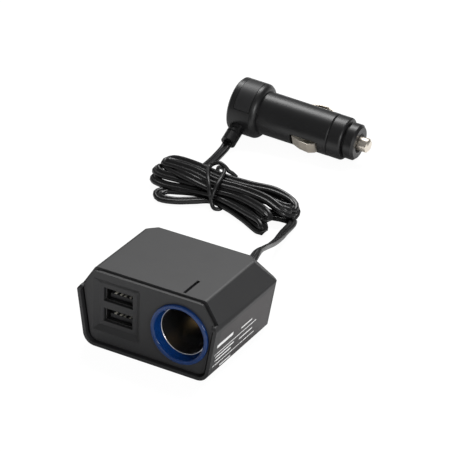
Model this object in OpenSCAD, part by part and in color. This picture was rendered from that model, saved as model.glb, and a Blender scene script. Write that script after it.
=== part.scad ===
// Car power splitter: a small box with two stacked USB-A ports and one accessory socket,
// on a flat twin cord that is folded into a tied hank and ends in an accessory plug.
// Origin: middle of the box's footprint, on the table. The front panel faces -Y, +Z is up, units are mm.

/* [Case] */
// Room beside the socket's ring, out to the shoulders of the case
side_room = 4.2; // [3.8:0.1:8]
// Room above the socket's ring, up to the flat top
top_room = 4.2; // [3.8:0.1:6]
// How far each side leans in from the shoulder down to the floor
side_draft = 3.8; // [3.2:0.1:4.6]
// How far each chamfer leans in from the shoulder up to the top
chamfer_run = 6.9; // [6:0.1:7.6]
// Height of the chamfers
chamfer_rise = 10.8; // [10.4:0.1:11.4]
// Room behind the socket's insulator, out to the rear wall
rear_room = 8.5; // [7.5:0.5:16.5]
// Height of the parting seam above the shoulders, at the front
seam_rise_front = 1.7; // [1.3:0.1:2.1]
// Height of the parting seam above the shoulders, at the rear
seam_rise_rear = 0.4; // [0.2:0.1:1.1]
// Wall of the tray
tray_wall = 1.5; // [1.2:0.1:1.8]
// Wall of the top shell
shell_wall = 2; // [1.6:0.1:2.2]
// Radius of the tray's lower corners
base_corner_r = 5.5; // [4:0.1:6]
// Radius of the edges round the flat top
top_edge_r = 2; // [1:0.1:2.4]
// Radius of the tray's rear corners
rear_corner_r = 3; // [2:0.1:4]
// How far the rear wall leans in from the shoulder to the top
rear_run = 5.4; // [4:0.1:6]
// Size of the cut at the top's rear corners
corner_cut = 4.8; // [3:0.1:6]

/* [Front panel] */
// How far the tray's lip stands in front of the panel
lip_reach = 1.5; // [1:0.1:2]
// Inset of the panel's edge from the case's outline at the top and chamfers
panel_inset = 0.95; // [0.6:0.05:1.2]
// Width of the shadow gap between the panel and the tray
panel_gap = 1.1; // [0.6:0.1:1.4]
// Height of the panel's lower edge
panel_foot_z = 2; // [1.8:0.1:2.4]
// Thickness of the panel's front flange
flange_t = 0.8; // [0.6:0.1:1]
// Depth of the shadow groove behind the flange
groove_d = 1.2; // [0.8:0.1:1.4]
// Depth of the panel's part inside the case
spigot_d = 1.8; // [1.4:0.1:2.4]
// Clearance of that part in the case
spigot_clear = 0.2; // [0.1:0.05:0.3]

/* [USB ports] */
// Middle of the ports across the panel
usb_x = -15; // [-15.5:0.1:-14.5]
// Middle height of the lower port
usb_low_z = 14.5; // [14.2:0.1:14.8]
// Distance between the two ports
usb_pitch = 9.55; // [9.2:0.05:9.9]
// Width of each opening in the panel
usb_open_w = 14; // [13.6:0.1:14.4]
// Height of each opening in the panel
usb_open_h = 6.35; // [6.1:0.05:6.6]
// Depth of the sunk field round the ports
field_depth = 1.6; // [1.2:0.1:2]
// Margin of the sunk floor round the openings
field_margin = 1.9; // [1.4:0.1:2.2]
// Run of the sunk field's sloped walls
field_slope = 2.4; // [1.5:0.1:2.8]
// Width of a port's steel shell
usb_shell_w = 13.1; // [12.9:0.05:13.3]
// Height of a port's steel shell
usb_shell_h = 5.7; // [5.5:0.05:5.9]
// Length of a port's steel shell
usb_shell_l = 13.5; // [12:0.1:14]
// Sheet thickness of a port's shell
usb_shell_t = 0.3; // [0.25:0.05:0.4]
// How far the steel shell sits behind the sunk floor
usb_setback = 1.2; // [0.8:0.1:1.6]
// Thickness of a port's tongue
tongue_t = 1.75; // [1.6:0.05:1.85]
// Width of a port's tongue
tongue_w = 11.1; // [10.8:0.1:11.4]

/* [Accessory socket] */
// Middle of the socket across the panel
socket_x = 15.4; // [14.8:0.1:15.8]
// Middle height of the socket
socket_z = 17.9; // [17.5:0.1:18.3]
// Outer diameter of the coloured ring
ring_d = 27; // [26.4:0.1:27.6]
// How far the ring stands in front of the panel
ring_proud = 1.2; // [0.8:0.1:1.4]
// Bore of the metal barrel
barrel_bore = 21.2; // [20.9:0.1:21.5]
// Wall of the metal barrel
barrel_t = 0.8; // [0.6:0.1:0.9]
// Length of the metal barrel
barrel_l = 34; // [32:0.5:34.5]
// Depth of the barrel's rim behind the ring's front
rim_depth = 4; // [3.4:0.1:4.4]
// Wall of the ring's body round the barrel
ring_wall = 0.8; // [0.6:0.1:1]
// Length of the insulating cup behind the barrel
insulator_l = 5.2; // [4.6:0.1:5.5]

/* [Plug] */
// Length of the head, with its rounded shoulder
head_l = 15; // [14.4:0.1:16]
// Diameter of the head
head_d = 27.3; // [26.8:0.1:28]
// Wall of the head
head_wall = 1.4; // [1.2:0.1:1.8]
// Barrel's diameter at the head
stem_d_rear = 21.2; // [21:0.1:21.6]
// Barrel's diameter at the nose
stem_d_front = 21; // [20.8:0.05:21.2]
// Where the barrel ends and the nose collar begins, from the head's rear face
seam_x = 52; // [51:0.1:53]
// Diameter of the nose collar
collar_d = 20.9; // [20.6:0.1:21]
// Length of the nose collar
collar_l = 7.1; // [6.8:0.1:8]
// Diameter of the nose cap
cap_d = 17.7; // [17.2:0.1:18]
// Thickness of the nose cap's front disc
cap_t = 4.8; // [4.2:0.1:5.4]
// Diameter of the tip contact
tip_d = 7; // [6.6:0.1:7.4]
// How far the tip contact stands out of the nose cap
tip_reach = 5.2; // [4:0.1:6]
// Width of a side contact
leaf_w = 6.6; // [6:0.1:6.8]
// Sheet thickness of a side contact
leaf_t = 0.5; // [0.4:0.05:0.6]
// Radius at which a side contact stands out most
leaf_peak_r = 12.2; // [11.8:0.1:12.6]
// Turn of the whole plug about its own axis
plug_roll = 27.5; // [24:0.5:28]

/* [Fuse] */
// Diameter of the fuse
fuse_d = 6.3; // [6:0.05:6.35]
// Length of the fuse
fuse_l = 30; // [29:0.5:31]
// Length of a fuse cap
fuse_cap_l = 6; // [5:0.5:7]

/* [Cord] */
// Width of the flat twin cord
cord_w = 4.8; // [4.4:0.1:5]
// Thickness of the flat twin cord
cord_t = 2.4; // [2.2:0.1:2.6]
// Height of the tied hank
hank_h = 10; // [9:0.5:11]
// Width of the tie's band
tie_w = 3; // [2:0.5:4]
// Thickness of the tie's band
tie_t = 1.2; // [0.8:0.1:1.3]

/* [Hidden] */
$fn = 64;
eps = 0.01;
far = 60;

// outer form of the case, from the socket outwards
case_w = 2 * (socket_x + ring_d / 2 + side_room);
base_w = case_w - 2 * side_draft;
top_w = case_w - 2 * chamfer_run;
case_h = socket_z + ring_d / 2 + top_room;
shoulder_z = case_h - chamfer_rise;
seam_front_z = shoulder_z + seam_rise_front;
seam_rear_z = shoulder_z + seam_rise_rear;

// planes of the case, front to back
case_d = lip_reach - ring_proud + rim_depth + barrel_l + insulator_l + rear_room;
half_d = case_d / 2;
panel_y = lip_reach - half_d;
neck_y = panel_y + flange_t;
shell_y = neck_y + groove_d;
spigot_y = shell_y + spigot_d;
field_y = panel_y + field_depth;
usb_y = field_y + usb_setback;
board_y = usb_y + usb_shell_l;

// slopes of the case's section
side_slope = (case_w - base_w) / 2 / shoulder_z;
side_angle = atan(side_slope);
chamfer_slope = (case_w - top_w) / 2 / (case_h - shoulder_z);
seam_angle = atan((seam_rear_z - seam_front_z) / case_d);

// half width of the sloped side and of the chamfer at height z, inset by o
function side_x(z, o) = base_w / 2 + side_slope * z - o * sqrt(1 + side_slope * side_slope);
function chamfer_x(z, o) = top_w / 2 + chamfer_slope * (case_h - z) - o * sqrt(1 + chamfer_slope * chamfer_slope);
function shoulder_height(os, oc) = (chamfer_x(0, oc) - side_x(0, os)) / (side_slope + chamfer_slope);
function mirrored(pts) = concat(pts, [for (i = [len(pts) - 1:-1:0]) [-pts[i][0], pts[i][1]]]);

// half of the case's octagon: floor at z0, side inset os, chamfer inset oc, top inset ot
function section_half(z0, os, oc, ot) = let (zs = shoulder_height(os, oc))
    [[side_x(z0, os), z0], [side_x(zs, os), zs], [chamfer_x(case_h - ot, oc), case_h - ot]];

// rounded convex outline: straight edges between tangent points and a full circle in each corner
function unit(v) = v / norm(v);
function half_angle(a, b, c) = acos(unit(a - b) * unit(c - b)) / 2;
module rounded_outline(pts, radii) {
    n = len(pts);
    polygon([for (i = [0:n - 1]) let (a = pts[(i + n - 1) % n], b = pts[i], c = pts[(i + 1) % n],
        t = radii[i] / tan(half_angle(a, b, c))) each [b + unit(a - b) * t, b + unit(c - b) * t]]);
    for (i = [0:n - 1]) {
        a = pts[(i + n - 1) % n];
        b = pts[i];
        c = pts[(i + 1) % n];
        translate(b + unit(unit(a - b) + unit(c - b)) * radii[i] / sin(half_angle(a, b, c)))
            circle(r = radii[i]);
    }
}

// extrusions of an XZ section along Y, and of a YZ section along X
module along_y(y0, y1) translate([0, y1, 0]) rotate([90, 0, 0]) linear_extrude(y1 - y0) children();
module along_x(x0, x1) translate([x0, 0, 0]) rotate([90, 0, 90]) linear_extrude(x1 - x0) children();

// cylinders and cones along Y and X
module rod_y(x, z, y0, y1, r) translate([x, y1, z]) rotate([90, 0, 0]) cylinder(h = y1 - y0, r = r);
module rod_x(x0, x1, r) translate([x0, 0, 0]) rotate([0, 90, 0]) cylinder(h = x1 - x0, r = r);
module cone_x(x0, x1, r0, r1) translate([x0, 0, 0]) rotate([0, 90, 0]) cylinder(h = x1 - x0, r1 = r0, r2 = r1);

// the case's outer form inset by o, open to the front at y_front
module case_form(o, y_front) {
    section_r = [max(base_corner_r - o, 0.6), 1.2, max(top_edge_r - o, 0.4)];
    rear_top = [half_d - rear_run - o * 1.2, case_h - o];
    intersection() {
        along_y(y_front, half_d - o)
            rounded_outline(mirrored(section_half(o, o, o, o)), concat(section_r, [for (i = [2:-1:0]) section_r[i]]));
        along_x(-far, far)
            rounded_outline([[-far, o - far], [half_d - o, o - far], [half_d - o, seam_rear_z - o / 4], rear_top,
                [-far, case_h - o]], [1, 1, 1.2, max(top_edge_r - o, 0.4), 1]);
        hull() for (x = [-1, 1], s = [[-far, base_w / 2, 0], [half_d, base_w / 2, 0], [-far, case_w / 2, shoulder_z],
                [half_d, case_w / 2, shoulder_z]])
            translate([x * (s[1] - rear_corner_r), s[0] - rear_corner_r, s[2] - eps])
                cylinder(h = s[2] > 0 ? far : eps, r = rear_corner_r - o, $fn = 40);
        corner_facet(o);
        mirror([1, 0, 0]) corner_facet(o);
    }
}

// everything inside the 45 degree cut at the right rear corner of the top
module corner_facet(o) {
    cut_q = (top_w / 2 + half_d - rear_run - corner_cut) / sqrt(2) - o * sqrt(2);
    rotate([0, 0, 45]) along_y(-2 * far, 2 * far)
        polygon([[-2 * far, -far], [cut_q + case_h + far, -far], [cut_q - far, case_h + far], [-2 * far, case_h + far]]);
}

// everything below the sloping parting seam
module below_seam() translate([0, -half_d, seam_front_z]) rotate([seam_angle, 0, 0])
    translate([-far, -far, -2 * far]) cube([2 * far, 3 * far, 2 * far]);

// below the seam too, with the lip's upper ends rounded
module tray_side() {
    rear_y = half_d + 1;
    along_x(-far, far) rounded_outline([[-half_d, -far], [rear_y, -far],
        [rear_y, seam_front_z + tan(seam_angle) * (rear_y + half_d)], [-half_d, seam_front_z]], [1, 1, 1, lip_reach]);
}

// case screws: a counterbored post on the floor, and a post that hangs from the top shell
post_x = base_w / 2 - 3.8;
front_post_y = 12 - half_d;
rear_post_y = half_d - 5.6;
mid_post_x = (usb_x + usb_shell_w / 2 + socket_x - ring_d / 2) / 2;
screw_spots = [[-post_x, front_post_y], [mid_post_x, front_post_y], [-post_x, rear_post_y], [post_x, rear_post_y]];
post_top_z = 6;
screw_r = 1.25;
screw_head_r = 2.3;
screw_head_z = 2.4;
screw_head_t = 1.7;
screw_l = 10;
post_r = 2.5;
foot_r = 3.1;
hole_clear = 0.1;

// main board and its two posts
board_z = 4.4;
board_t = 1.6;
board_top_z = board_z + board_t;
main_x = [usb_x - 10, usb_x + 15.4];
main_front_y = board_y + board_t;
main_rear_y = half_d - 9.5;
board_spots = [for (x = [main_x[0] + 2.6, main_x[1] - 3]) [x, main_rear_y - 2.7]];
board_post_r = 2.1;
board_screw_r = 1;

// cord exit in the rear wall
gland_x = 15;
gland_z = 22.8;
gland_neck_r = 3.7;
gland_flange_r = 4.8;
gland_flange_t = 1.4;
gland_reach = 5;
gland_end_r = 3.4;

module gland_hole() rod_y(gland_x, gland_z, half_d - 4, half_d + 4, gland_neck_r + hole_clear);

// slot, light guide and lamp board under the top
slot_x = socket_x - 0.2;
slot_w = 1.4;
slot_y = [shell_y + 1.1, shell_y + 12.6];
window_sink = 0.8;
guide_w = 3;
guide_t = 1;
led_size = [2.2, 2.8, 1.3];
led_board_size = [7, 8, 1];
peg_r = 0.9;
peg_dx = 2.4;
ceiling_z = case_h - shell_wall;
lamp_board_top_z = ceiling_z - guide_t - led_size[2];
lamp_y = (slot_y[0] + slot_y[1]) / 2 + 1.4;

module top_shell() color([0.13, 0.13, 0.135]) difference() {
    union() {
        difference() {
            case_form(0, shell_y);
            case_form(shell_wall, -far);
        }
        intersection() {
            union() {
                for (p = screw_spots) translate([p[0], p[1], post_top_z]) cylinder(h = case_h, r = post_r);
                for (d = [-peg_dx, peg_dx]) translate([slot_x + d, lamp_y, lamp_board_top_z])
                    cylinder(h = case_h, r = peg_r, $fn = 24);
            }
            case_form(shell_wall / 2, -far);
        }
    }
    difference() {
        below_seam();
        for (p = screw_spots) translate([p[0], p[1], post_top_z]) cylinder(h = case_h, r = post_r);
    }
    for (p = screw_spots) translate([p[0], p[1], post_top_z - eps]) cylinder(h = screw_l, r = screw_r);
    translate([slot_x - slot_w / 2, slot_y[0], lamp_board_top_z]) cube([slot_w, slot_y[1] - slot_y[0], case_h]);
    gland_hole();
    rod_y(gland_x, gland_z, half_d - 2 * shell_wall, half_d - shell_wall, gland_flange_r + hole_clear);
}

module base_tray() color([0.12, 0.12, 0.125]) difference() {
    union() {
        intersection() {
            difference() {
                case_form(0, -half_d);
                case_form(tray_wall, -far);
            }
            tray_side();
        }
        intersection() {
            union() {
                for (p = screw_spots) translate([p[0], p[1], 0]) cylinder(h = post_top_z, r = foot_r);
                for (p = board_spots) translate([p[0], p[1], 0]) cylinder(h = board_z, r = board_post_r);
            }
            case_form(tray_wall / 2, -far);
        }
    }
    for (p = screw_spots) translate([p[0], p[1], -eps]) {
        cylinder(h = screw_head_z, r = screw_head_r + hole_clear);
        cylinder(h = post_top_z + 1, r = screw_r + hole_clear);
    }
    for (p = board_spots) translate([p[0], p[1], tray_wall]) cylinder(h = board_z, r = board_screw_r);
    label_slab(-label_sink, 1);
    gland_hole();
}

// front panel: flange, neck behind the grooves in the chamfers, and a spigot inside the case
panel_side_inset = tray_wall + panel_gap;
module panel_outline(side_o, chamfer_o, top_o, foot) {
    top = case_h - panel_inset - top_o;
    zs = shoulder_height(panel_side_inset + side_o, panel_inset + chamfer_o);
    half = [[side_x(foot, panel_side_inset + side_o), foot], [side_x(zs, panel_side_inset + side_o), zs],
        [chamfer_x(top, panel_inset + chamfer_o), top]];
    r = [base_corner_r - panel_side_inset + 0.8, 1, 1.1];
    rounded_outline(mirrored(half), concat(r, [for (i = [2:-1:0]) r[i]]));
}
neck_o = shell_wall + spigot_clear - panel_inset;
groove_gap = 0.15;
ring_body_r = barrel_bore / 2 + barrel_t + ring_wall;
field_w = usb_open_w + 2 * field_margin;
field_h = usb_pitch + usb_open_h + 2 * field_margin;
field_z = usb_low_z - usb_open_h / 2 - field_margin;

module usb_field(grow, y) translate([usb_x - field_w / 2 - grow, y, field_z - grow])
    cube([field_w + 2 * grow, eps, field_h + 2 * grow]);

module front_panel() color([0.1, 0.1, 0.105]) difference() {
    union() {
        along_y(panel_y, neck_y) panel_outline(0, 0, 0, panel_foot_z);
        along_y(neck_y - eps, shell_y - groove_gap) panel_outline(neck_o, neck_o, 0, panel_foot_z + neck_o);
        along_y(neck_y - eps, spigot_y) panel_outline(spigot_clear - panel_gap + 0.8, neck_o, neck_o, tray_wall);
    }
    hull() {
        usb_field(field_slope + 0.1, panel_y - 0.1);
        usb_field(0, field_y - eps);
    }
    for (z = [usb_low_z, usb_low_z + usb_pitch])
        translate([usb_x - usb_open_w / 2, panel_y, z - usb_open_h / 2]) cube([usb_open_w, 2 * half_d, usb_open_h]);
    rod_y(socket_x, socket_z, panel_y - 1, spigot_y + 1, ring_body_r + hole_clear / 2);
}

// rating label: a thin sheet let into the sloped right side
label_sink = 0.25;
label_gap = 0.03;
label_z = [3.4, shoulder_z - 1.6];
label_y = [panel_y + 3.2, half_d - 3.4];
module label_slab(t0, t1) translate([base_w / 2, 0, 0]) rotate([0, side_angle, 0])
    translate([t0, label_y[0], label_z[0]]) cube([t1 - t0, label_y[1] - label_y[0], label_z[1] - label_z[0]]);
module rating_label() color([0.25, 0.235, 0.24]) label_slab(-label_sink, -label_gap);

guide_y = [spigot_y + hole_clear, slot_y[1] + 1];
module led_window() color([0.05, 0.05, 0.06]) {
    translate([slot_x - slot_w / 2, slot_y[0], ceiling_z - eps])
        cube([slot_w, slot_y[1] - slot_y[0], shell_wall - window_sink]);
    translate([slot_x - guide_w / 2, guide_y[0], ceiling_z - guide_t])
        cube([guide_w, guide_y[1] - guide_y[0], guide_t]);
}

module led_board() color([0.1, 0.3, 0.15])
    translate([slot_x - led_board_size[0] / 2, lamp_y - led_board_size[1] / 2, lamp_board_top_z - led_board_size[2]])
        cube(led_board_size);

module status_led() color([0.85, 0.88, 0.95])
    translate([slot_x - led_size[0] / 2, lamp_y - led_size[1] / 2, lamp_board_top_z]) cube(led_size);

// one USB port: steel shell, insulating tongue with its rear block, and four contact strips
port_base_l = 3.3;
tongue_setback = 2;
tongue_drop = 0.6;
strip_t = 0.15;
strip_w = 1;
strip_x = [-3.5, -1, 1, 3.5];
module usb_shell(z) color([0.72, 0.71, 0.69]) difference() {
    translate([usb_x - usb_shell_w / 2, usb_y, z - usb_shell_h / 2]) cube([usb_shell_w, usb_shell_l, usb_shell_h]);
    translate([usb_x - usb_shell_w / 2 + usb_shell_t, usb_y - 1, z - usb_shell_h / 2 + usb_shell_t])
        cube([usb_shell_w - 2 * usb_shell_t, usb_shell_l + 2, usb_shell_h - 2 * usb_shell_t]);
}
module usb_tongue(z) color([0.9, 0.9, 0.88]) {
    translate([usb_x - usb_shell_w / 2 + usb_shell_t, board_y - port_base_l, z - usb_shell_h / 2 + usb_shell_t])
        cube([usb_shell_w - 2 * usb_shell_t, port_base_l, usb_shell_h - 2 * usb_shell_t]);
    translate([usb_x - tongue_w / 2, usb_y + tongue_setback, z - tongue_drop - tongue_t])
        cube([tongue_w, usb_shell_l - tongue_setback - port_base_l + eps, tongue_t]);
}
module usb_contacts(z) color([0.85, 0.72, 0.4]) for (dx = strip_x)
    translate([usb_x + dx - strip_w / 2, usb_y + tongue_setback + 0.4, z - tongue_drop])
        cube([strip_w, usb_shell_l - tongue_setback - port_base_l - 0.4, strip_t]);
module usb_shell_upper() usb_shell(usb_low_z + usb_pitch);
module usb_shell_lower() usb_shell(usb_low_z);
module usb_tongue_upper() usb_tongue(usb_low_z + usb_pitch);
module usb_tongue_lower() usb_tongue(usb_low_z);
module usb_contacts_upper() usb_contacts(usb_low_z + usb_pitch);
module usb_contacts_lower() usb_contacts(usb_low_z);

// upright board behind the ports, and the main board that butts against it
port_board_w = 20;
port_board_top_z = usb_low_z + usb_pitch + usb_shell_h / 2 + 1.6;
module usb_board() color([0.1, 0.3, 0.15])
    translate([usb_x - port_board_w / 2, board_y, board_z]) cube([port_board_w, board_t, port_board_top_z - board_z]);
module main_board() color([0.1, 0.3, 0.15]) difference() {
    translate([main_x[0], main_front_y, board_z])
        cube([main_x[1] - main_x[0], main_rear_y - main_front_y, board_t]);
    for (p = board_spots) translate([p[0], p[1], board_z - 1]) cylinder(h = board_t + 2, r = board_screw_r + hole_clear);
}
module board_screws() color([0.7, 0.7, 0.7]) for (p = board_spots) translate([p[0], p[1], 0]) {
    translate([0, 0, tray_wall + 0.6]) cylinder(h = board_top_z - tray_wall - 0.6 + eps, r = board_screw_r);
    translate([0, 0, board_top_z]) cylinder(h = 1.2, r = 2);
}

// parts on the main board
inductor_size = 11;
inductor_h = 7;
inductor_xy = [main_x[1] - 7.6, main_front_y + 9];
capacitor_r = 4;
capacitor_h = 11;
capacitor_spots = [for (i = [0, 1]) [main_x[0] + capacitor_r + 1, main_front_y + 1.4 + (2 * i + 1) * (capacitor_r + hole_clear)]];
chip_size = [6, 5, 1.7];
chip_xy = [inductor_xy[0] - 6.4, inductor_xy[1] + inductor_size / 2 + 2.5];
diode_size = [5, 3, 2.2];
diode_xy = [main_x[1] - 6.8, inductor_xy[1] + inductor_size / 2 + 0.3];
module power_inductor() color([0.2, 0.2, 0.22]) translate([inductor_xy[0], inductor_xy[1], board_top_z])
    linear_extrude(inductor_h) rounded_outline([for (s = [[1, -1], [1, 1], [-1, 1], [-1, -1]]) s * inductor_size / 2],
        [1.5, 1.5, 1.5, 1.5]);
module filter_capacitors() color([0.2, 0.22, 0.4]) for (p = capacitor_spots)
    translate([p[0], p[1], board_top_z]) cylinder(h = capacitor_h, r = capacitor_r);
module regulator_chip() color([0.1, 0.1, 0.1]) translate([chip_xy[0], chip_xy[1], board_top_z]) cube(chip_size);
module catch_diode() color([0.15, 0.15, 0.15]) translate([diode_xy[0], diode_xy[1], board_top_z]) cube(diode_size);

// accessory socket: coloured ring, its lock ring, metal barrel, insulator, sprung centre contact and nut
ring_front_y = panel_y - ring_proud;
rim_y = ring_front_y + rim_depth;
barrel_r = barrel_bore / 2;
barrel_rear_y = rim_y + barrel_l;
insulator_y = barrel_rear_y + insulator_l;
ring_rear_y = spigot_y + 2;
lip_r = ring_proud / 2;
mouth_r = ring_d / 2 - 1.95;
lock_r = ring_body_r + 1;
stud_r = 1.8;
contact_r = 3.2;
cup_r = barrel_r + 0.2;
cup_d = 2.6;
contact_y = [barrel_rear_y + 0.6, barrel_rear_y + cup_d];
nut_t = 2.2;

// a profile turned round the socket's axis: x is the radius, y runs from the front to the rear
module socket_turn() translate([socket_x, 0, socket_z]) rotate([-90, 0, 0]) rotate_extrude() children();

module socket_ring() color([0.08, 0.25, 0.6, 0.8]) socket_turn() {
    polygon([[mouth_r, ring_front_y + lip_r], [mouth_r + lip_r, ring_front_y], [ring_d / 2 - lip_r, ring_front_y],
        [ring_d / 2, ring_front_y + lip_r], [ring_d / 2, panel_y], [ring_body_r, panel_y],
        [ring_body_r, ring_rear_y], [barrel_r + barrel_t, ring_rear_y], [barrel_r + barrel_t, rim_y],
        [barrel_r, rim_y]]);
    for (r = [mouth_r + lip_r, ring_d / 2 - lip_r]) translate([r, ring_front_y + lip_r]) circle(r = lip_r, $fn = 32);
}
module socket_lock_ring() color([0.1, 0.1, 0.1]) socket_turn()
    translate([ring_body_r, spigot_y]) square([lock_r - ring_body_r, ring_rear_y - spigot_y]);
module socket_barrel() color([0.75, 0.75, 0.77]) socket_turn()
    translate([barrel_r, rim_y]) square([barrel_t, barrel_l]);
module socket_insulator() color([0.55, 0.35, 0.2]) socket_turn() polygon([
    [stud_r, barrel_rear_y + cup_d], [cup_r, barrel_rear_y + cup_d], [cup_r, barrel_rear_y],
    [barrel_r + barrel_t, barrel_rear_y], [barrel_r + barrel_t, insulator_y], [stud_r, insulator_y]]);
module socket_contact() color([0.8, 0.65, 0.3]) {
    rod_y(socket_x, socket_z, contact_y[0], contact_y[1], contact_r);
    rod_y(socket_x, socket_z, contact_y[1] - eps, insulator_y + nut_t + 0.6, stud_r);
}
module socket_nut() color([0.7, 0.7, 0.7]) difference() {
    rotate_nut() cylinder(h = nut_t, r = contact_r, $fn = 6);
    rod_y(socket_x, socket_z, insulator_y - 1, insulator_y + nut_t + 1, stud_r);
}
module rotate_nut() translate([socket_x, insulator_y + nut_t, socket_z]) rotate([90, 0, 0]) children();

// skin over rings of m points each, closed by the first and the last ring
module skin(rings, m) {
    n = len(rings);
    polyhedron(
        points = [for (r = rings) each r],
        faces = concat(
            [[for (k = [0:m - 1]) k]],
            [for (i = [0:n - 2], k = [0:m - 1]) let (q = (k + 1) % m)
                [i * m + k, (i + 1) * m + k, (i + 1) * m + q, i * m + q]],
            [[for (k = [m - 1:-1:0]) (n - 1) * m + k]]),
        convexity = 8);
}

// oval ring square to a route at its point i: a across, b the other way; ref is a way the route never takes
function tangent(p, i) = unit(p[min(i + 1, len(p) - 1)] - p[max(i - 1, 0)]);
function oval(p, i, a, b, m, ref) = let (t = tangent(p, i), side = unit(cross(ref, t)), up = cross(t, side))
    [for (k = [0:m - 1]) let (u = 360 * (k + 0.5) / m) p[i] + side * a * cos(u) + up * b * sin(u)];
module tube(p, a, b, m, ref) skin([for (i = [0:len(p) - 1]) oval(p, i, a, b, m, ref)], m);

// leads inside the case
lead_r = 0.8;
lead_y = half_d - shell_wall - gland_flange_t - lead_r - 0.05;
lead_sides = 8;
positive_route = [[gland_x + 1.2, lead_y, gland_z + 0.4], [gland_x + 4.6, lead_y - 0.6, gland_z],
    [gland_x + 6, lead_y - 1.6, socket_z + 1.4], [socket_x + contact_r + 2 * lead_r, insulator_y + lead_r + 0.1, socket_z]];
negative_route = [[gland_x - 1.2, lead_y, gland_z + 0.4], [gland_x - 6, lead_y - 0.6, gland_z - 3],
    [0, lead_y - 1.4, 12], [main_x[1] - 6.4, main_rear_y + 0.4, 8.6],
    [main_x[1] - 6.4, main_rear_y - 3.6, board_top_z + lead_r + 0.05]];
module positive_lead() color([0.6, 0.1, 0.1]) tube(positive_route, lead_r, lead_r, lead_sides, [0, 1, 0]);
module negative_lead() color([0.1, 0.1, 0.1]) tube(negative_route, lead_r, lead_r, lead_sides, [0, 0, 1]);

module case_screws() color([0.3, 0.3, 0.32]) for (p = screw_spots) translate([p[0], p[1], 0]) {
    translate([0, 0, screw_head_z - screw_head_t]) cylinder(h = screw_head_t - eps, r = screw_head_r);
    translate([0, 0, screw_head_z - screw_head_t]) cylinder(h = screw_l, r = screw_r);
}

module cord_gland() color([0.08, 0.08, 0.08]) translate([gland_x, 0, gland_z]) rotate([-90, 0, 0]) {
    translate([0, 0, half_d - shell_wall - gland_flange_t]) cylinder(h = gland_flange_t, r = gland_flange_r);
    translate([0, 0, half_d - shell_wall - gland_flange_t]) cylinder(h = gland_reach, r = gland_neck_r);
    translate([0, 0, half_d + 0.4]) cylinder(h = gland_reach - 0.4, r1 = gland_neck_r, r2 = gland_end_r);
}

// hank: a lobe at each end, each over two circles, and a waist under the tie
hank_left = [[-65, 105], [-72.6, 113.6]];
hank_right = [[-21.6, 102], [-15.4, 112]];
lobe_r = [10.2, 9.4];
waist_x = [-56, -38];
waist_y = [105.4, 123.6];
waist_z = 1.5;
module lobe(ends, r) linear_extrude(hank_h) {
    along = unit(ends[1] - ends[0]);
    across = [along[1], -along[0]] * r;
    for (p = ends) translate(p) circle(r = r);
    polygon([ends[0] - across, ends[0] + across, ends[1] + across, ends[1] - across]);
}
module cord_hank() color([0.1, 0.1, 0.1]) {
    for (i = [0, 1]) {
        ends = [hank_left, hank_right][i];
        lobe(ends, lobe_r[i]);
        translate([0, 0, waist_z]) linear_extrude(hank_h - waist_z)
            polygon([ends[0] - [0, lobe_r[i]], [waist_x[i], waist_y[0]], [waist_x[i], waist_y[1]], ends[1] + [0, lobe_r[i]]]);
    }
    translate([waist_x[0], waist_y[0], waist_z])
        cube([waist_x[1] - waist_x[0], waist_y[1] - waist_y[0], hank_h - waist_z]);
}

// tie: one band round the waist
tie_x = -47;
tie_clear = 0.1;
module tie_block(grow, w) translate([tie_x - w / 2, waist_y[0] - grow, waist_z - grow])
    cube([w, waist_y[1] - waist_y[0] + 2 * grow, hank_h - waist_z + 2 * grow]);
module cable_tie() color([0.08, 0.08, 0.08]) difference() {
    tie_block(tie_t + tie_clear, tie_w);
    tie_block(tie_clear, tie_w + 1);
}

// the plug lies on its head's rim and its collar's rim, beyond the hank
plug_x = -74.6;
plug_y = 181.75;
plug_yaw = 2.3;
head_edge_r = 3;
collar_edge_r = 1.2;
collar_end_x = seam_x + collar_l;
head_rest_x = head_l - head_edge_r;
plug_tilt = atan((head_d - collar_d) / 2 / (collar_end_x - collar_edge_r - head_rest_x));
plug_z = head_d / 2 * cos(plug_tilt) + head_rest_x * sin(plug_tilt) + 0.02;
module plug_frame() translate([plug_x, plug_y, plug_z]) rotate([0, 0, plug_yaw]) rotate([0, plug_tilt, 0])
    rotate([plug_roll, 0, 0]) children();

// the same turns and shift for one point of the plug
function turn_x(p, a) = [p[0], p[1] * cos(a) - p[2] * sin(a), p[1] * sin(a) + p[2] * cos(a)];
function turn_y(p, a) = [p[0] * cos(a) + p[2] * sin(a), p[1], p[2] * cos(a) - p[0] * sin(a)];
function turn_z(p, a) = [p[0] * cos(a) - p[1] * sin(a), p[0] * sin(a) + p[1] * cos(a), p[2]];
function plug_point(p) = turn_z(turn_y(turn_x(p, plug_roll), plug_tilt), plug_yaw) + [plug_x, plug_y, plug_z];

// stations along the plug's axis, from the head's rear face
spigot_l = 4;
spigot_r = stem_d_rear / 2 - 1.4;
bore_r = 8;
nose_spigot_r = 8.6;
nose_spigot_l = 3.8;
head_inner_r = head_d / 2 - head_wall - 0.4;
fuse_x = seam_x + 2.1 - fuse_l;
tip_x = fuse_x + fuse_l;
spring_x = fuse_x - 5.5;
holder_x = [spring_x - 2, seam_x - 1.3];
tip_flange_t = 2.5;
tip_flange_r = 4.6;
cap_x = tip_x + tip_flange_t;
cap_hub_r = 7.4;
cap_disc_x = collar_end_x + 1.3;
nose_x = cap_disc_x + cap_t;
tip_end_x = nose_x + tip_reach;
running = 0.08;

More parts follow.
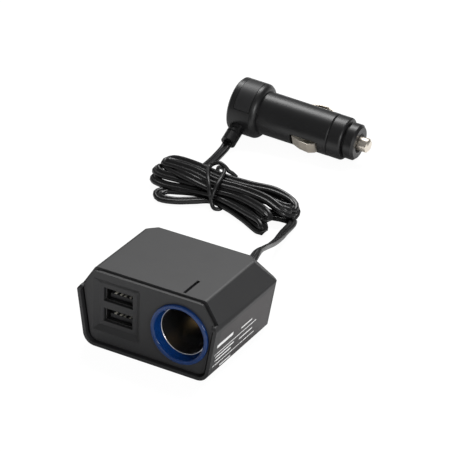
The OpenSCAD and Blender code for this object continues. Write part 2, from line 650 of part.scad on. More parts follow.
// cord relief on the head: a flange inside, a neck through the wall and a sleeve with two grooves
relief_x = 6;
relief_r = 3.3;
relief_band_r = 3.7;
relief_reach = 23.1;
relief_bands = [[13, 15.4], [16, 17.5], [18.1, relief_reach]];
relief_flange_r = 4.2;
relief_flange_y = head_inner_r - 1.1;
module rod_out(y0, y1, r) translate([relief_x, -y0, 0]) rotate([90, 0, 0]) cylinder(h = y1 - y0, r = r);

// raised pad let into the head's rim
pad_x = [3.4, head_rest_x - 0.4];
pad_w = 18.6;
pad_gap = 0.2;
pad_turn = 2;
pad_floor_r = head_d / 2 - 0.7;
module pad_zone(g) rotate([pad_turn, 0, 0]) translate([pad_x[0] - g, -pad_w / 2 - g, 6])
    cube([pad_x[1] - pad_x[0] + 2 * g, pad_w + 2 * g, head_d]);

module plug_head() color([0.13, 0.13, 0.13]) plug_frame() difference() {
    rotate([0, 90, 0]) rotate_extrude() {
        polygon([[0, 0], [head_d / 2 - 0.8, 0], [head_d / 2, 0.8], [head_d / 2, head_rest_x],
            [head_d / 2 - head_edge_r, head_l], [0, head_l]]);
        translate([head_d / 2 - head_edge_r, head_rest_x]) circle(r = head_edge_r);
    }
    rod_x(head_wall, head_l - 2, head_inner_r);
    rod_x(head_l - 3, head_l + 1, spigot_r + hole_clear / 2);
    rod_out(head_inner_r - 4, head_d, relief_r + hole_clear / 2);
    intersection() {
        pad_zone(pad_gap);
        difference() {
            rod_x(0, head_l, head_d);
            rod_x(-1, head_l + 1, pad_floor_r);
        }
    }
}
module plug_head_pad() color([0.2, 0.2, 0.2]) plug_frame() intersection() {
    pad_zone(0);
    difference() {
        rod_x(0, head_l, head_d / 2 + 0.1);
        rod_x(-1, head_l + 1, pad_floor_r + 0.02);
    }
}

// side contact: root under the barrel's wall, rise through its slot, long slope, fold and end
root_y = 6.6;
leaf_line = [[seam_x - 21.4, root_y], [seam_x - 18.6, root_y], [seam_x - 17.5, 9.9], [seam_x - 13.4, leaf_peak_r - leaf_t - 0.45],
    [seam_x - 8.7, leaf_peak_r - leaf_t], [seam_x - 6, leaf_peak_r - leaf_t - 1.2], [seam_x - 5.3, leaf_peak_r - leaf_t - 2.4]];
seat_flat_y = root_y - 0.1;

// opening on both sides of the plug, w wide and from y0 outwards
module side_slots(x0, x1, y0, w) for (turn = [0, 180]) rotate([turn, 0, 0]) translate([x0, y0, -w / 2])
    cube([x1 - x0, head_d, w]);
slot_room = 0.5;
slot_ends = [seam_x - 19, seam_x - 4.4];

// barrel of the plug with a slot on each side, and a groove where the collar meets it
seam_cut = 0.5;
module plug_barrel() color([0.12, 0.12, 0.12]) plug_frame() difference() {
    union() {
        cone_x(head_l, seam_x - seam_cut, stem_d_rear / 2, stem_d_front / 2);
        cone_x(seam_x - seam_cut - eps, seam_x, stem_d_front / 2, stem_d_front / 2 - seam_cut);
        rod_x(head_l - spigot_l, head_l + eps, spigot_r);
        rod_x(seam_x - eps, seam_x + nose_spigot_l, nose_spigot_r);
    }
    rod_x(head_l - spigot_l - 1, seam_x + nose_spigot_l + 1, bore_r);
    side_slots(slot_ends[0], slot_ends[1], root_y, leaf_w + slot_room);
}
module plug_relief() color([0.1, 0.1, 0.1]) plug_frame() {
    rod_out(relief_flange_y - 1.2, relief_flange_y, relief_flange_r);
    rod_out(relief_flange_y - eps, relief_reach, relief_r);
    difference() {
        for (band = relief_bands) rod_out(band[0], band[1], relief_band_r);
        rod_x(0, head_l, head_d / 2 + 0.02);
    }
}

// routes of the two free ends of the cord: from the gland to the hank, and from the plug's relief to the hank
tail_box = [[gland_x, half_d + gland_reach, gland_z], [gland_x, half_d + gland_reach + 1, gland_z], [14.4, 36, 23],
    [12.8, 42, 22.6], [10.6, 49, 20.6], [8.4, 57, 17.4], [5.6, 66, 13.2], [2.8, 76, 9], [0.2, 86, 5.8], [-1.4, 92, 4.4],
    [-2.6, 97, 3.6], [-3.4, 102, 3], [-4.2, 107.4, 2.7]];
tail_plug = [plug_point([relief_x, -relief_reach, 0]), plug_point([relief_x, -relief_reach - 1.5, 0]),
    [-68.1, 156.8, 2.1], [-67.5, 151, 1.8], [-66.8, 145, 1.8], [-66.1, 138, 2.1], [-65.4, 131, 2.8], [-65, 126, 3.6], [-65, 123.75, 3.7]];

cord_sides = 8;
module cord() color([0.1, 0.1, 0.1]) for (route = [tail_box, tail_plug])
    tube(route, cord_w / 2, cord_t / 2, cord_sides, [0, 0, 1]);

// insulating holder round the fuse, cut away under the side contacts
leaf_room_y = 4.8;
leaf_room_x = leaf_line[0][0] + 0.9;
module fuse_holder() color([0.85, 0.83, 0.78]) plug_frame() difference() {
    rod_x(holder_x[0], holder_x[1], bore_r - hole_clear / 2);
    rod_x(holder_x[0] - 1, holder_x[1] + 1, fuse_d / 2 + 0.25);
    side_slots(leaf_line[0][0] - 0.2, leaf_room_x + eps, seat_flat_y, leaf_w + slot_room);
    side_slots(leaf_room_x, slot_ends[1], leaf_room_y, leaf_w + slot_room);
}
fuse_seat_x = spring_x - 0.8;
fuse_seat_r = fuse_d / 2 + 0.25;
module fuse_seat() color([0.8, 0.65, 0.3]) plug_frame() rod_x(fuse_seat_x, spring_x, fuse_seat_r);

plug_lead_route = [[fuse_seat_x - 0.05, 0, 0], [relief_x + 6, -0.8, 0], [relief_x + 2.4, -3.4, 0], [relief_x + 0.4, -6.4, 0],
    [relief_x, 1.25 - relief_flange_y, 0]];
module plug_lead() color([0.6, 0.1, 0.1]) plug_frame() tube(plug_lead_route, lead_r, lead_r, lead_sides, [0, 0, 1]);

// compression spring: a wire swept round the axis
coil_turns = 4;
coil_r = 2.3;
coil_wire_r = 0.3;
coil_steps = 12;
coil_sides = 6;
function coil_point(a) = [spring_x + coil_wire_r + (fuse_x - spring_x - 2 * coil_wire_r) * a / (360 * coil_turns),
    coil_r * cos(a), coil_r * sin(a)];
function coil_ring(a) = let (out = [0, cos(a), sin(a)]) [for (k = [0:coil_sides - 1]) let (u = 360 * k / coil_sides)
    coil_point(a) + coil_wire_r * (cos(u) * out - sin(u) * [1, 0, 0])];
module fuse_spring() color([0.75, 0.75, 0.78]) plug_frame()
    skin([for (i = [0:coil_turns * coil_steps]) coil_ring(360 * i / coil_steps)], coil_sides);

// glass fuse between the spring and the tip contact; it slides with the tip
fuse_cap_t = 0.35;
module fuse_glass() color([0.85, 0.9, 0.9, 0.5]) plug_frame() difference() {
    rod_x(fuse_x + fuse_cap_t, tip_x - fuse_cap_t, fuse_d / 2 - fuse_cap_t);
    rod_x(fuse_x, tip_x, fuse_d / 2 - 1.1);
}
module fuse_caps() color([0.75, 0.75, 0.75]) plug_frame() for (x = [fuse_x, tip_x - fuse_cap_l]) difference() {
    rod_x(x, x + fuse_cap_l, fuse_d / 2);
    rod_x(x + (x > fuse_x ? -1 : fuse_cap_t), x + fuse_cap_l + (x > fuse_x ? -fuse_cap_t : 1), fuse_d / 2 - fuse_cap_t);
}
module fuse_wire() color([0.7, 0.7, 0.7]) plug_frame() rod_x(fuse_x + fuse_cap_t, tip_x - fuse_cap_t, 0.25);
module tip_contact() color([0.78, 0.72, 0.62]) plug_frame() {
    rod_x(tip_x, cap_x, tip_flange_r);
    rod_x(cap_x - eps, tip_end_x - 0.9, tip_d / 2);
    cone_x(tip_end_x - 0.9 - eps, tip_end_x, tip_d / 2, tip_d / 2 - 1.1);
}

// side contact: drawn on the far side and turned round for the near one
function leaf_normal(i) = let (p = leaf_line, d = unit(p[min(i + 1, len(p) - 1)] - p[max(i - 1, 0)])) [-d[1], d[0]];
module leaf() color([0.76, 0.71, 0.64]) translate([0, 0, -leaf_w / 2]) linear_extrude(leaf_w)
    polygon(concat(leaf_line, [for (i = [len(leaf_line) - 1:-1:0]) leaf_line[i] + leaf_normal(i) * leaf_t]));
module side_contact_far() plug_frame() leaf();
module side_contact_near() plug_frame() rotate([180, 0, 0]) leaf();

module nose_collar() color([0.11, 0.11, 0.11]) plug_frame() difference() {
    union() {
        cone_x(seam_x, seam_x + seam_cut, collar_d / 2 - seam_cut, collar_d / 2);
        rotate([0, 90, 0]) rotate_extrude() {
            translate([0, seam_x + seam_cut - eps]) square([collar_d / 2, collar_end_x - collar_edge_r - seam_x - seam_cut + eps]);
            translate([0, seam_x + eps]) square([collar_d / 2 - collar_edge_r, collar_l - eps]);
            translate([collar_d / 2 - collar_edge_r, collar_end_x - collar_edge_r]) circle(r = collar_edge_r);
        }
    }
    rod_x(seam_x - 1, seam_x + nose_spigot_l + 0.4, nose_spigot_r);
    rod_x(seam_x, collar_end_x + 1, cap_hub_r);
}
cap_edge = 1.2;
module nose_cap() color([0.12, 0.12, 0.12]) plug_frame() difference() {
    union() {
        rod_x(cap_x, cap_disc_x + eps, cap_hub_r);
        rod_x(cap_disc_x, nose_x - cap_edge, cap_d / 2);
        cone_x(nose_x - cap_edge - eps, nose_x, cap_d / 2, cap_d / 2 - cap_edge);
    }
    rod_x(cap_x - 1, nose_x + 1, tip_d / 2 + running);
    cone_x(nose_x - 2, nose_x + eps, tip_d / 2 + running, tip_d / 2 + 1.4);
}

top_shell();
base_tray();
front_panel();
rating_label();
led_window();
led_board();
status_led();
usb_shell_upper();
usb_shell_lower();
usb_tongue_upper();
usb_tongue_lower();
usb_contacts_upper();
usb_contacts_lower();
usb_board();
main_board();
board_screws();
power_inductor();
filter_capacitors();
regulator_chip();
catch_diode();
socket_ring();
socket_lock_ring();
socket_barrel();
socket_insulator();
socket_contact();
socket_nut();
positive_lead();
negative_lead();
case_screws();
cord_gland();
cord();
cord_hank();
cable_tie();
plug_head();
plug_head_pad();
plug_barrel();
plug_relief();
plug_lead();
fuse_holder();
fuse_seat();
fuse_spring();
fuse_glass();
fuse_caps();
fuse_wire();
tip_contact();
side_contact_near();
side_contact_far();
nose_collar();
nose_cap();
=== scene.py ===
import math

import bmesh
import bpy
from mathutils import Matrix, Vector


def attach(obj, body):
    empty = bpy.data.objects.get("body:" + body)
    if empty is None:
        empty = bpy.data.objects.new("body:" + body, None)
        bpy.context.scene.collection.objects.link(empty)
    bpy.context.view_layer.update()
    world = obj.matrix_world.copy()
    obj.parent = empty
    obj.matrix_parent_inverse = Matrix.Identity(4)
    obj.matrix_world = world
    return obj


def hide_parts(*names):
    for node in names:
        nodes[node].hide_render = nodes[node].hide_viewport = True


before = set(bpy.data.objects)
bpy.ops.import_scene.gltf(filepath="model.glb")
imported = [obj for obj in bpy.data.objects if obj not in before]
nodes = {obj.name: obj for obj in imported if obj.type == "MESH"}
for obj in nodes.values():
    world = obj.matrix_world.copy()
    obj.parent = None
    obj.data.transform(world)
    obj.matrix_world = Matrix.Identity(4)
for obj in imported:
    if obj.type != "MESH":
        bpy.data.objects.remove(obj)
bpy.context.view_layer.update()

# Camera. A product shot from the right of the front panel, 28.5 degrees above the table, with a
# long lens. It stands where the box's edges, the ports and the socket put it.
scene = bpy.context.scene
eye = Vector((0.43449, -0.74776, 0.52198))
look = Vector((-0.425076, 0.769212, -0.477099)).normalized()
right = Vector((0.866195, 0.498665, 0.032239)).normalized()
up = right.cross(look).normalized()
camera_data = bpy.data.cameras.new("camera")
FOCAL_PX, PICTURE_PX, SENSOR = 2417.7, 452, 36.0
camera_data.sensor_width = SENSOR
camera_data.lens = SENSOR * FOCAL_PX / PICTURE_PX
camera_data.clip_start, camera_data.clip_end = 0.05, 20
camera = bpy.data.objects.new("camera", camera_data)
scene.collection.objects.link(camera)
camera.matrix_world = Matrix((
    (right.x, up.x, -look.x, eye.x),
    (right.y, up.y, -look.y, eye.y),
    (right.z, up.z, -look.z, eye.z),
    (0, 0, 0, 1)))
scene.camera = camera

# Cord. About a metre of flat twin cord: two stranded cores side by side in soft black PVC, pressed
# into a figure of eight. It leaves the box's rear gland, is folded back and forth into a hank
# that lies on the table, and runs on to the plug's strain relief. The points are millimetres.
CORD_W, CORD_T = 4.8, 2.4
CORD_STEP = 1.6
box_end = [
    (15, 31, 22.8), (15, 32, 22.8), (14.4, 36, 23), (12.8, 42, 22.6), (10.6, 49, 20.6), (8.4, 57, 17.4),
    (5.6, 66, 13.2), (2.8, 76, 9), (0.2, 86, 5.8), (-1.4, 92, 4.4), (-2.6, 97, 3.6), (-3.4, 102, 3),
    (-4.2, 107.4, 2.7)]
box_flat = [(-0.3, -0.5, 1)] * 2 + [(-0.3, -0.6, 1)] * 7 + [(-0.2, -0.5, 1)] * 4
# each pass of the hank, from one end's fold to the other: point and the way its flat side faces
hank = [
    ((-6.2, 110.4, 2.4), (0.1, -0.4, 1)), ((-10.5, 110.8, 2.4), (0, -0.3, 1)),
    ((-20, 108.9, 2.4), (0, -0.1, 1)), ((-33, 110, 2.4), (0, 0, 1)), ((-47, 112.4, 2.7), (0, 0, 1)),
    ((-58, 109.6, 2.4), (0, 0, 1)), ((-64.6, 107.8, 1.9), (0, 0, 1)), ((-69.6, 105.2, 1.8), (0.3, 0.2, 1)),
    ((-71, 101, 1.8), (0.3, 0, 1)), ((-67.4, 97.8, 1.8), (0, -0.2, 1)), ((-60.5, 99.4, 1.8), (0, 0, 1)),
    ((-53.5, 103.4, 2.2), (0, 0, 1)), ((-46, 107.6, 2.6), (0, 0, 1)), ((-36, 106, 2), (0, 0, 1)),
    ((-25, 101.4, 1.9), (0, -0.2, 1)), ((-15, 96, 1.9), (0, -0.6, 1)), ((-12.2, 95.2, 3.4), (1, -0.5, 0.4)),
    ((-15, 97.8, 5.2), (0, 0.3, 1)), ((-25, 102.5, 5), (0, 0, 1)), ((-36, 106.6, 4.8), (0, 0, 1)),
    ((-47, 108.2, 5.2), (0, 0, 1)), ((-60, 107.8, 4.4), (0, -0.2, 1)), ((-70.6, 107.4, 3.6), (0, -0.2, 1)),
    ((-77, 108.6, 3.8), (-0.6, 0, 1)), ((-79.2, 112.2, 4.4), (-1, 0, 1)),
    ((-75.6, 115.8, 4.6), (0, 0.2, 1)), ((-66, 116.8, 3.4), (0, 0, 1)), ((-47, 117.4, 2.7), (0, 0, 1)),
    ((-30, 113.8, 2.4), (0, 0, 1)), ((-17, 112, 2.2), (0, 0, 1)), ((-9.4, 113, 2.4), (0.4, 0, 1)),
    ((-6.8, 116, 3.8), (1, 0.2, 0.6)), ((-10, 118.4, 5.2), (0, 0.2, 1)), ((-20, 117.2, 5), (0, 0, 1)),
    ((-34, 116.2, 5), (0, 0, 1)), ((-47, 118.2, 5.2), (0, 0, 1)), ((-62, 119.6, 5.4), (0, 0, 1)),
    ((-72.4, 119.6, 5.8), (0, 0, 1)), ((-79, 117.8, 6.4), (-0.8, 0, 1)), ((-80, 114, 6.6), (-1, -0.3, 1)),
    ((-75.4, 111.2, 6.4), (0, -0.4, 1)), ((-62, 111, 6.8), (0, -0.3, 1)), ((-47, 113.2, 5.2), (0, 0, 1)),
    ((-34, 110.6, 5.4), (0, -0.3, 1)), ((-24, 105.4, 5.6), (0, -0.5, 1)),
    ((-15.4, 99.8, 5.6), (0.2, -0.6, 1)), ((-12.2, 99.4, 7), (1, 0, 0.5)),
    ((-15.6, 102.2, 8.2), (0, -0.3, 1)), ((-25, 106.6, 8), (0, -0.3, 1)), ((-36, 109.8, 7.6), (0, -0.3, 1)),
    ((-47, 109.2, 7.8), (0, -0.4, 1)), ((-60, 110.6, 9), (0, -0.4, 1)), ((-70.4, 114, 8.6), (0, -0.4, 1)),
    ((-76.8, 117.2, 8.4), (-0.6, 0, 1)), ((-77.8, 120.4, 8), (-1, 0.2, 0.8)),
    ((-72.6, 122.2, 7.6), (0, 0.2, 1)), ((-62, 121.4, 7.8), (0, 0, 1)), ((-47, 119, 7.8), (0, 0, 1)),
    ((-34, 115.4, 7.6), (0, -0.1, 1)), ((-22, 114.6, 7.4), (0, -0.1, 1)), ((-12, 113.4, 7), (0.6, 0, 1)),
    ((-7.6, 115.4, 6.4), (1, 0.2, 0.5)), ((-10.4, 118.6, 7.8), (0.2, 0.3, 1)),
    ((-20, 119.2, 10), (0, -0.2, 1)), ((-33, 117.4, 10.2), (0, -0.3, 1)),
    ((-47, 117.2, 10.4), (0, -0.3, 1)), ((-60, 119.4, 10.8), (0, -0.3, 1)),
    ((-70.6, 121, 10.4), (0, -0.3, 1)), ((-76, 120, 10.2), (-0.5, -0.2, 1)),
    ((-76.8, 116.8, 9.8), (-0.6, -0.3, 1)), ((-70.6, 115.8, 10.4), (0, -0.4, 1)),
    ((-60, 114.4, 10.8), (0, -0.5, 1)), ((-47, 111.6, 10.2), (0, -0.4, 1)),
    ((-33, 112.2, 10), (0, -0.4, 1)), ((-20, 110.8, 9.6), (0, -0.6, 1)),
    ((-11.4, 108.6, 7.8), (0.6, -0.6, 1)), ((-7.6, 111.2, 5), (1, -0.4, 0.6)),
    ((-9.4, 116, 4.4), (0.5, 0.4, 1)), ((-20, 120.4, 6.6), (0, 0.3, 1)), ((-34, 120.4, 6.8), (0, 0.2, 1)),
    ((-48, 121.8, 6.4), (0, 0.2, 1)), ((-58.6, 122.4, 5.2), (0, 0.2, 1))]
plug_end = [(-65, 126, 3.6), (-65.4, 131, 2.8), (-66.1, 138, 2.1), (-66.8, 145, 1.8), (-67.5, 151, 1.8),
            (-68.1, 156.8, 2.1), (-68.57, 160.15, 2.7), (-68.56, 161.48, 3.4)]
plug_flat = [(0, 0.1, 1)] * 8


def smooth(points, gap):
    """A curve through the points, with a point about every gap."""
    p = [points[0] * 2 - points[1]] + points + [points[-1] * 2 - points[-2]]
    out = []
    for a, b, c, d in zip(p, p[1:], p[2:], p[3:]):
        n = max(2, round((c - b).length / gap))
        for i in range(n):
            t = i / n
            out.append(0.5 * (2 * b + (c - a) * t + (2 * a - 5 * b + 4 * c - d) * t * t
                              + (3 * b - a - 3 * c + d) * t ** 3))
    return out + [points[-1]]


def sweep(name, line, sides, profile):
    """A closed tube: the profile's (across, thick) points at each point of the line."""
    bm = bmesh.new()
    rings = []
    for i, p in enumerate(line):
        along = (line[min(i + 1, len(line) - 1)] - line[max(i - 1, 0)]).normalized()
        across = along.cross(sides[i]).normalized()
        thick = across.cross(along)
        rings.append([bm.verts.new((p + across * a + thick * b) / 1000) for a, b in profile])
    for ring, following in zip(rings, rings[1:]):
        for k in range(len(ring)):
            m = (k + 1) % len(ring)
            bm.faces.new((ring[k], ring[m], following[m], following[k]))
    bm.faces.new(rings[0])
    bm.faces.new(rings[-1])
    bmesh.ops.recalc_face_normals(bm, faces=bm.faces)
    mesh = bpy.data.meshes.new(name)
    bm.to_mesh(mesh)
    bm.free()
    mesh.polygons.foreach_set("use_smooth", [True] * len(mesh.polygons))
    piece = bpy.data.objects.new(name, mesh)
    scene.collection.objects.link(piece)
    return piece


# how many patches of clouding lie along a metre, and how strongly the grain shows
CLOUDS_PER_M, GRAIN_SHOWS = 90, 0.2


def moulded(name, colour, rough, grain=0.0004, depth=0.02, mottle=0.08, rough_range=0.06, **sockets):
    """A moulded, drawn or plated surface: slight clouding of the colour, uneven gloss, fine grain."""
    material = bpy.data.materials.new(name)
    material.use_nodes = True
    tree = material.node_tree
    shader = tree.nodes["Principled BSDF"]
    place = tree.nodes.new("ShaderNodeTexCoord")
    cloud = tree.nodes.new("ShaderNodeTexNoise")
    cloud.inputs["Scale"].default_value = CLOUDS_PER_M
    cloud.inputs["Detail"].default_value = 4
    tree.links.new(place.outputs["Object"], cloud.inputs["Vector"])
    tint = tree.nodes.new("ShaderNodeMix")
    tint.data_type = "RGBA"
    tint.inputs["A"].default_value = [c * (1 - mottle) for c in colour[:3]] + [1]
    tint.inputs["B"].default_value = [min(1, c * (1 + mottle)) for c in colour[:3]] + [1]
    tree.links.new(cloud.outputs["Fac"], tint.inputs["Factor"])
    tree.links.new(tint.outputs["Result"], shader.inputs["Base Color"])
    gloss = tree.nodes.new("ShaderNodeMapRange")
    gloss.inputs["To Min"].default_value = rough - rough_range
    gloss.inputs["To Max"].default_value = rough + rough_range
    tree.links.new(cloud.outputs["Fac"], gloss.inputs["Value"])
    tree.links.new(gloss.outputs["Result"], shader.inputs["Roughness"])
    fine = tree.nodes.new("ShaderNodeTexNoise")
    fine.inputs["Scale"].default_value = 1 / grain
    fine.inputs["Detail"].default_value = 2
    tree.links.new(place.outputs["Object"], fine.inputs["Vector"])
    bump = tree.nodes.new("ShaderNodeBump")
    bump.inputs["Strength"].default_value = GRAIN_SHOWS
    bump.inputs["Distance"].default_value = depth / 1000
    tree.links.new(fine.outputs["Fac"], bump.inputs["Height"])
    tree.links.new(bump.outputs["Normal"], shader.inputs["Normal"])
    for socket, value in sockets.items():
        shader.inputs[socket.replace("_", " ")].default_value = value
    return material


def finish_with(material, *names):
    """Gives CAD nodes their material."""
    for name in names:
        for place in nodes[name].material_slots:
            place.material = material


pvc = moulded("soft_pvc", (0.004, 0.004, 0.0045), 0.3, grain=0.0009, depth=0.001, rough_range=0.04)
marks = [(Vector(p), Vector(f)) for p, f in
         list(zip(box_end, box_flat)) + hank + list(zip(plug_end, plug_flat))]
cord_line = smooth([p for p, f in marks], CORD_STEP)
cord_sides = []
for a, b in zip(marks, marks[1:]):
    n = max(2, round((b[0] - a[0]).length / CORD_STEP))
    cord_sides += [a[1].normalized().lerp(b[1].normalized(), i / n).normalized() for i in range(n)]
cord_sides.append(marks[-1][1].normalized())
core_r = CORD_T / 2
# half of the angle that the web between the cores takes of each core's round
web = math.radians(24)
LOBE_STEPS = 10
lobe = [math.pi - web - (2 * math.pi - 2 * web) * i / LOBE_STEPS for i in range(LOBE_STEPS + 1)]
right_core = [(CORD_W / 4 + core_r * math.cos(a), core_r * math.sin(a)) for a in lobe]
left_core = [(-x, -z) for x, z in right_core]
cord = sweep("twin_cord", cord_line, cord_sides, right_core + left_core)
cord.data.materials.append(pvc)
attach(cord, "splitter")
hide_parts("cord", "cord_hank")
print("cord length", sum((b - a).length for a, b in zip(cord_line, cord_line[1:])), len(cord_line))

# Tie. A round rubber tie about 1.9 mm thick, wound twice round the waist of the hank and
# twisted into itself on top, so that a small loop and one end stand up.
TIE_D, TIE_STEP, TIE_SIDES = 1.9, 0.8, 10
tie_points = [
    (-41.4, 122, 9.4), (-43.6, 121.8, 11), (-45.4, 121.2, 12), (-46.9, 121, 13.6), (-49.6, 121, 14.9),
    (-52.2, 121, 14.3), (-54.2, 120.6, 12.9), (-54.6, 118.6, 12.3), (-52.6, 114.6, 12.3),
    (-49.6, 109.6, 11.9), (-47, 106.1, 10), (-45.6, 104.5, 7.6), (-44.4, 104, 4.8), (-43.6, 103.6, 2.4),
    (-42.2, 103.4, 1.2), (-40.2, 104.8, 1), (-40.6, 107.4, 0.95), (-43.4, 112, 0.95), (-47.6, 118, 0.95),
    (-51.4, 123, 1.1), (-53.6, 125.4, 3.4), (-53.6, 125.6, 7), (-52.2, 123.6, 10.8), (-49.2, 121.6, 12.5),
    (-46.8, 119.6, 12.9), (-45.4, 116.4, 12.5), (-44.3, 111.6, 12.1), (-43.9, 107.4, 10.6),
    (-44, 104.6, 7.6), (-44.6, 104, 5)]
tie_line = smooth([Vector(p) for p in tie_points], TIE_STEP)
tie_turns = [math.tau * i / TIE_SIDES for i in range(TIE_SIDES)]
tie_ring = [(TIE_D / 2 * math.cos(turn), TIE_D / 2 * math.sin(turn)) for turn in tie_turns]
tie_side = [Vector((0.6, 0.3, 0.2))] * len(tie_line)
tie = sweep("rubber_tie", tie_line, tie_side, tie_ring)
tie.data.materials.append(moulded("tie_rubber", (0.004, 0.004, 0.0045), 0.4, depth=0.01))
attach(tie, "splitter")
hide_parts("cable_tie")

# Plug shell. Head, barrel, nose collar and nose cap are black moulded plastic, satin from the
# tool. A pad of the same plastic is let into the head's rim, and the relief is soft PVC.
plug_black = moulded("plug_plastic", (0.007, 0.007, 0.0075), 0.36, grain=0.0006, depth=0.01)
finish_with(plug_black, "plug_head", "plug_barrel", "nose_collar", "nose_cap")
finish_with(moulded("head_pad", (0.015, 0.015, 0.016), 0.45), "plug_head_pad")
finish_with(pvc, "plug_relief")

# Plug contacts. The turned tip and the two bent side contacts are nickel-plated. The tip is
# pressed forward by the spring behind the fuse.
nickel = moulded("nickel_plate", (0.86, 0.79, 0.69), 0.32, grain=0.0002, depth=0.002, mottle=0.04,
                 Metallic=1.0)
finish_with(nickel, "side_contact_near", "side_contact_far", "tip_contact")

# Fuse. A glass tube with nickel-plated caps slides in a nylon holder. Behind it a steel spring
# stands on a brass seat, where the red lead is soldered.
finish_with(nickel, "fuse_caps")
finish_with(moulded("fuse_holder_nylon", (0.6, 0.57, 0.5), 0.5), "fuse_holder")
glass = moulded("fuse_glass", (0.85, 0.9, 0.9), 0.08, depth=0.001, Transmission_Weight=0.9)
finish_with(glass, "fuse_glass")
brass = moulded("brass_sheet", (0.7, 0.48, 0.2), 0.32, depth=0.004, Metallic=1.0)
finish_with(brass, "fuse_seat")
zinc = moulded("zinc_steel", (0.55, 0.55, 0.57), 0.34, depth=0.004, Metallic=1.0)
finish_with(zinc, "fuse_spring", "fuse_wire")
red_lead = moulded("red_lead", (0.35, 0.02, 0.02), 0.45)
finish_with(red_lead, "plug_lead")

# Case. Two ABS mouldings with a fine spark-eroded texture: the lid with its chamfers, and the
# tray that wraps round the sides and stands proud in front. Four screws hold them from below,
# and a soft PVC gland sits in the rear wall round the cord.
finish_with(moulded("case_top", (0.024, 0.024, 0.025), 0.5, grain=0.0005, depth=0.02), "top_shell")
finish_with(moulded("case_tray", (0.018, 0.018, 0.019), 0.48, grain=0.0005, depth=0.02), "base_tray")
finish_with(moulded("screw_black", (0.03, 0.03, 0.03), 0.35, Metallic=1.0), "case_screws")
finish_with(pvc, "cord_gland")

# Front panel. A finer ABS moulding, snapped into the case's front, with openings for the ports
# and the socket.
panel_abs = moulded("panel_abs", (0.022, 0.022, 0.023), 0.48, grain=0.0005, depth=0.015)
finish_with(panel_abs, "front_panel")

# Label. Printed vinyl stuck on the sloped right side, dark grey, with plain white rules and bars.
# The rules are thin ink slabs that lie on the label's face, and their sizes are millimetres.
finish_with(moulded("label_vinyl", (0.04, 0.036, 0.037), 0.5, depth=0.004), "rating_label")
outer_faces = [f for f in nodes["rating_label"].data.polygons if f.normal.x > 0.5]
label_face = max(outer_faces, key=lambda f: f.area)
label_up = label_face.normal.cross(Vector((0, 1, 0))).normalized()
label_turn = Matrix((label_face.normal, (0, 1, 0), label_up)).transposed().to_4x4()
INK_T = 0.06
# each rule: its middle along the label and up it, its length and its height
label_bars = [
    (0, 2.6, 34.4, 0.45), (0, -3.2, 34.4, 0.45), (-9.4, 6.4, 13, 1.6), (8.6, 5.2, 9, 0.7),
    (-8.2, 0.9, 15, 0.7), (-9.2, -1, 13, 0.7), (9.4, -0.2, 11, 0.7), (-6, -5.6, 9, 0.7)]
rules = bmesh.new()
for along, rise, length, height in label_bars:
    place = label_face.center + Vector((0, along / 1000, 0)) + label_up * rise / 1000
    size = Matrix.Diagonal((INK_T / 1000, length / 1000, height / 1000, 1))
    bmesh.ops.create_cube(rules, size=1, matrix=Matrix.Translation(place) @ label_turn @ size)
rules_mesh = bpy.data.meshes.new("label_rules")
rules.to_mesh(rules_mesh)
rules.free()
rules_mesh.materials.append(moulded("rule_ink", (0.92, 0.92, 0.92), 0.5, depth=0.001))
label_rules = bpy.data.objects.new("label_rules", rules_mesh)
scene.collection.objects.link(label_rules)
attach(label_rules, "splitter")

# Light window. Smoked acrylic, pressed into the slot of the top, with a clear status lamp on its
# own small board under it.
board_green = moulded("board_green", (0.02, 0.11, 0.04), 0.35)
finish_with(moulded("window_smoke", (0.012, 0.012, 0.014), 0.18, depth=0.002), "led_window")
finish_with(moulded("lamp_epoxy", (0.7, 0.75, 0.85), 0.15), "status_led")
finish_with(board_green, "led_board")

# Ports. Two folded, plated steel shells, each with a moulded tongue that holds four gilt strips.
# Their tails are soldered to an upright board.
port_steel = moulded("port_steel", (0.16, 0.16, 0.16), 0.3, depth=0.004, Metallic=1.0)
finish_with(port_steel, "usb_shell_upper", "usb_shell_lower")
finish_with(moulded("port_tongue", (0.02, 0.02, 0.022), 0.45), "usb_tongue_upper", "usb_tongue_lower")
gilt_strip = moulded("gilt_strip", (0.95, 0.9, 0.78), 0.4, depth=0.002, Metallic=0.3)
finish_with(gilt_strip, "usb_contacts_upper", "usb_contacts_lower")
finish_with(board_green, "usb_board")

# Accessory socket. A tinted, translucent blue ring clamps a plated steel barrel to the panel with
# a plastic lock ring. A pressed insulator, a brass contact and a nut close the barrel's rear.
ring_blue = moulded("ring_blue", (0.008, 0.075, 0.33), 0.1, depth=0.001, Transmission_Weight=0.6)
finish_with(ring_blue, "socket_ring")
finish_with(panel_abs, "socket_lock_ring")
barrel_steel = moulded("barrel_steel", (0.6, 0.6, 0.61), 0.24, depth=0.002, Metallic=1.0)
finish_with(barrel_steel, "socket_barrel")
finish_with(moulded("phenolic", (0.02, 0.012, 0.008), 0.5), "socket_insulator")
finish_with(brass, "socket_contact")
finish_with(zinc, "socket_nut")

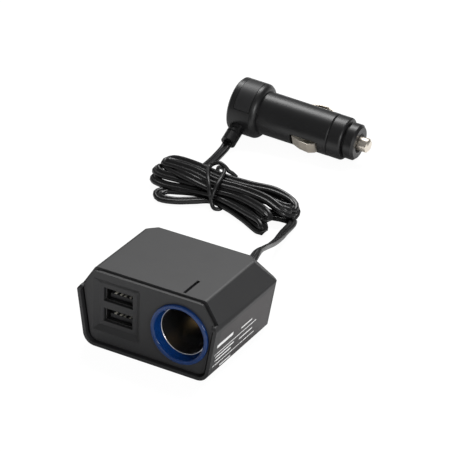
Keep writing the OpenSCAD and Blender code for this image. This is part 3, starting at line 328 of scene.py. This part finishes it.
# Barrel bead. The barrel's front edge is rolled inwards to a thin bright bead, so that the plug's
# tip doesn't catch on it. Its sizes are metres.
BEAD_R, BEAD_THICK = 0.0106, 0.0003
BEAD_SIDES, BEAD_STEPS = 16, 96
barrel = nodes["socket_barrel"]
barrel_box = [barrel.matrix_world @ Vector(corner) for corner in barrel.bound_box]
bead_place = (barrel_box[0] + barrel_box[6]) / 2
bead_place.y = min(corner.y for corner in barrel_box) + BEAD_THICK
upright = Matrix.Rotation(math.radians(90), 4, "X")
bead = bmesh.new()
bmesh.ops.create_circle(bead, segments=BEAD_SIDES, radius=BEAD_THICK,
                        matrix=Matrix.Translation((BEAD_R, 0, 0)) @ upright)
bmesh.ops.spin(bead, geom=bead.verts[:] + bead.edges[:], cent=(0, 0, 0), axis=(0, 0, 1),
               angle=math.tau, steps=BEAD_STEPS, use_merge=True)
bmesh.ops.recalc_face_normals(bead, faces=bead.faces)
bmesh.ops.transform(bead, verts=bead.verts, matrix=Matrix.Translation(bead_place) @ upright)
bead_mesh = bpy.data.meshes.new("barrel_bead")
bead.to_mesh(bead_mesh)
bead.free()
bead_mesh.polygons.foreach_set("use_smooth", [True] * len(bead_mesh.polygons))
bead_mesh.materials.append(barrel_steel)
barrel_bead = bpy.data.objects.new("barrel_bead", bead_mesh)
scene.collection.objects.link(barrel_bead)
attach(barrel_bead, "splitter")

# Inside. The main board with its regulator, diode, inductor and two capacitors stands on posts and
# is held by two screws. A red and a black lead run from it to the socket and the cord.
finish_with(board_green, "main_board")
finish_with(zinc, "board_screws")
chip_black = moulded("chip_black", (0.02, 0.02, 0.02), 0.4)
finish_with(chip_black, "regulator_chip", "catch_diode", "power_inductor")
finish_with(moulded("can_sleeve", (0.05, 0.07, 0.2), 0.3), "filter_capacitors")
finish_with(red_lead, "positive_lead")
finish_with(moulded("black_lead", (0.015, 0.015, 0.015), 0.45), "negative_lead")

# Studio. A white paper table in a white surround. A large soft light stands above and behind, a
# weak one in front and a small one on the right. The camera sees the paper partly as its own
# white, so that the picture's ground is white and the shadow stays.
TABLE_REACH = 4
PAPER_GLOW, PAPER_SHARE = 1.1, 0.86
table_mesh = bpy.data.meshes.new("table")
grid = bmesh.new()
bmesh.ops.create_grid(grid, x_segments=1, y_segments=1, size=TABLE_REACH)
grid.to_mesh(table_mesh)
grid.free()
table = bpy.data.objects.new("table", table_mesh)
scene.collection.objects.link(table)
paper = bpy.data.materials.new("white_paper")
paper.use_nodes = True
tree = paper.node_tree
shader = tree.nodes["Principled BSDF"]
shader.inputs["Base Color"].default_value = (0.9, 0.9, 0.9, 1)
shader.inputs["Roughness"].default_value = 0.9
glow = tree.nodes.new("ShaderNodeEmission")
glow.inputs["Strength"].default_value = PAPER_GLOW
ray = tree.nodes.new("ShaderNodeLightPath")
mix = tree.nodes.new("ShaderNodeMixShader")
seen = tree.nodes.new("ShaderNodeMath")
seen.operation = "MAXIMUM"
share = tree.nodes.new("ShaderNodeMath")
share.operation = "MULTIPLY"
share.inputs[1].default_value = PAPER_SHARE
tree.links.new(ray.outputs["Is Camera Ray"], seen.inputs[0])
tree.links.new(ray.outputs["Is Transmission Ray"], seen.inputs[1])
tree.links.new(seen.outputs[0], share.inputs[0])
tree.links.new(share.outputs[0], mix.inputs["Fac"])
tree.links.new(shader.outputs[0], mix.inputs[1])
tree.links.new(glow.outputs[0], mix.inputs[2])
tree.links.new(mix.outputs[0], tree.nodes["Material Output"].inputs["Surface"])
table_mesh.materials.append(paper)

SKY_LIGHT = 0.2
world = bpy.data.worlds.new("surround")
world.use_nodes = True
scene.world = world
tree = world.node_tree
sky = tree.nodes["Background"]
sky.inputs["Color"].default_value = (1, 1, 1, 1)
sky.inputs["Strength"].default_value = SKY_LIGHT
white = tree.nodes.new("ShaderNodeBackground")
white.inputs["Strength"].default_value = 1.0
ray = tree.nodes.new("ShaderNodeLightPath")
mix = tree.nodes.new("ShaderNodeMixShader")
tree.links.new(ray.outputs["Is Camera Ray"], mix.inputs["Fac"])
tree.links.new(sky.outputs[0], mix.inputs[1])
tree.links.new(white.outputs[0], mix.inputs[2])
tree.links.new(mix.outputs[0], tree.nodes["World Output"].inputs["Surface"])


def soft_light(name, place, aim, width, height, power):
    """A rectangular softbox at place, turned to aim."""
    data = bpy.data.lights.new(name, "AREA")
    data.shape = "RECTANGLE"
    data.size, data.size_y = width, height
    data.energy = power
    lamp = bpy.data.objects.new(name, data)
    lamp.location = place
    lamp.rotation_euler = (Vector(aim) - Vector(place)).to_track_quat("-Z", "Y").to_euler()
    scene.collection.objects.link(lamp)


soft_light("top_light", (-0.15, 0.75, 1.1), (0, 0.05, 0), 0.9, 0.5, 14)
soft_light("front_light", (0.5, -1.2, 0.8), (0, 0, 0), 0.9, 0.7, 2)
soft_light("side_light", (1, -0.5, 0.35), (0.03, 0, 0.015), 0.3, 0.3, 6)
scene.view_settings.view_transform = "Standard"
